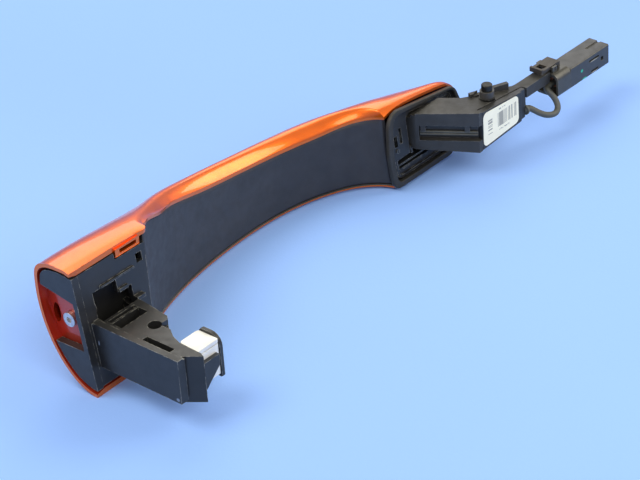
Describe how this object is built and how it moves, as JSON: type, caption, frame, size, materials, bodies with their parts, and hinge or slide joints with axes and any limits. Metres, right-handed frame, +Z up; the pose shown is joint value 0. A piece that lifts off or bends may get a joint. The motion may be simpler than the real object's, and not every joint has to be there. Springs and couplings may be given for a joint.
{
  "type": "car door handle",
  "caption": "Pull-type car door handle: painted bar with finger arch, hook leg at one end, hinge arm, electronics box and short cable plug at the other.",
  "frame": {"origin": "middle of the hinge pin's free upper end", "axes": "+X along the bar towards the connector, +Y out of the door, +Z up along the hinge pin"},
  "size_m": [0.289, 0.0875, 0.0513],
  "materials": {
    "paint": "orange-red metallic paint with clear coat",
    "grip_plastic": "fine moulded grain",
    "core_plastic": "moulded",
    "bracket_plastic": "moulded, slightly glossy",
    "screw_steel": "zinc plated",
    "white_acetal": "smooth",
    "surround_rubber": "matt",
    "arm_plastic": "moulded",
    "pin_steel": "dull",
    "bush_plastic": "smooth",
    "module_plastic": "moulded",
    "board": "solder resist",
    "chip": "moulded",
    "potting": "cast resin",
    "label": "printed film",
    "lead_rubber": "matt jacket",
    "seal_rubber": "silicone",
    "plug_plastic": "moulded",
    "terminal_brass": "tinned edges",
    "ferrite": "sintered",
    "copper": "enamelled"
  },
  "bodies": {
    "handle": {"outer_shell": "paint", "grip_cover": "grip_plastic", "bar_core": "core_plastic", "rear_bracket": "bracket_plastic", "shell_screw": "screw_steel", "core_screws": "screw_steel", "hook_pad": "white_acetal", "front_surround": "surround_rubber", "front_bracket": "bracket_plastic", "hinge_arm": "arm_plastic", "arm_screws": "screw_steel", "hinge_pin": "pin_steel", "module_housing": "module_plastic", "module_board": "board", "module_chips": "chip", "module_potting": "potting", "module_label": "label", "arm_leads": "lead_rubber", "lead_grommet": "lead_rubber", "short_lead": "lead_rubber", "plug_seal": "seal_rubber", "plug_collar": "plug_plastic", "plug_housing": "plug_plastic", "plug_terminals": "terminal_brass", "antenna_core": "ferrite", "antenna_winding": "copper", "lock_sensor": "copper", "unlock_sensor": "copper"},
    "upper_bush": {"upper_bush": "bush_plastic"},
    "lower_bush": {"lower_bush": "bush_plastic"},
    "latch": {"plug_latch": "plug_plastic"}
  },
  "joints": [
    {"name": "upper_bush_turn", "type": "hinge", "parent": "handle", "child": "upper_bush", "pos_m": [0, 0, 0], "axis": [0, 0, 1], "range_deg": [0, 20]},
    {"name": "lower_bush_turn", "type": "hinge", "parent": "handle", "child": "lower_bush", "pos_m": [0, 0, 0], "axis": [0, 0, 1], "range_deg": [0, 20]},
    {"name": "latch_press", "type": "hinge", "parent": "handle", "child": "latch", "pos_m": [0.0373, -0.0024, -0.0061], "axis": [0, -1, 0], "range_deg": [0, 4], "stiffness_Nm_per_rad": 0.1}
  ],
  "couplings": [
    {"joint": "lower_bush_turn", "follows": "upper_bush_turn", "ratio": 1}
  ]
}
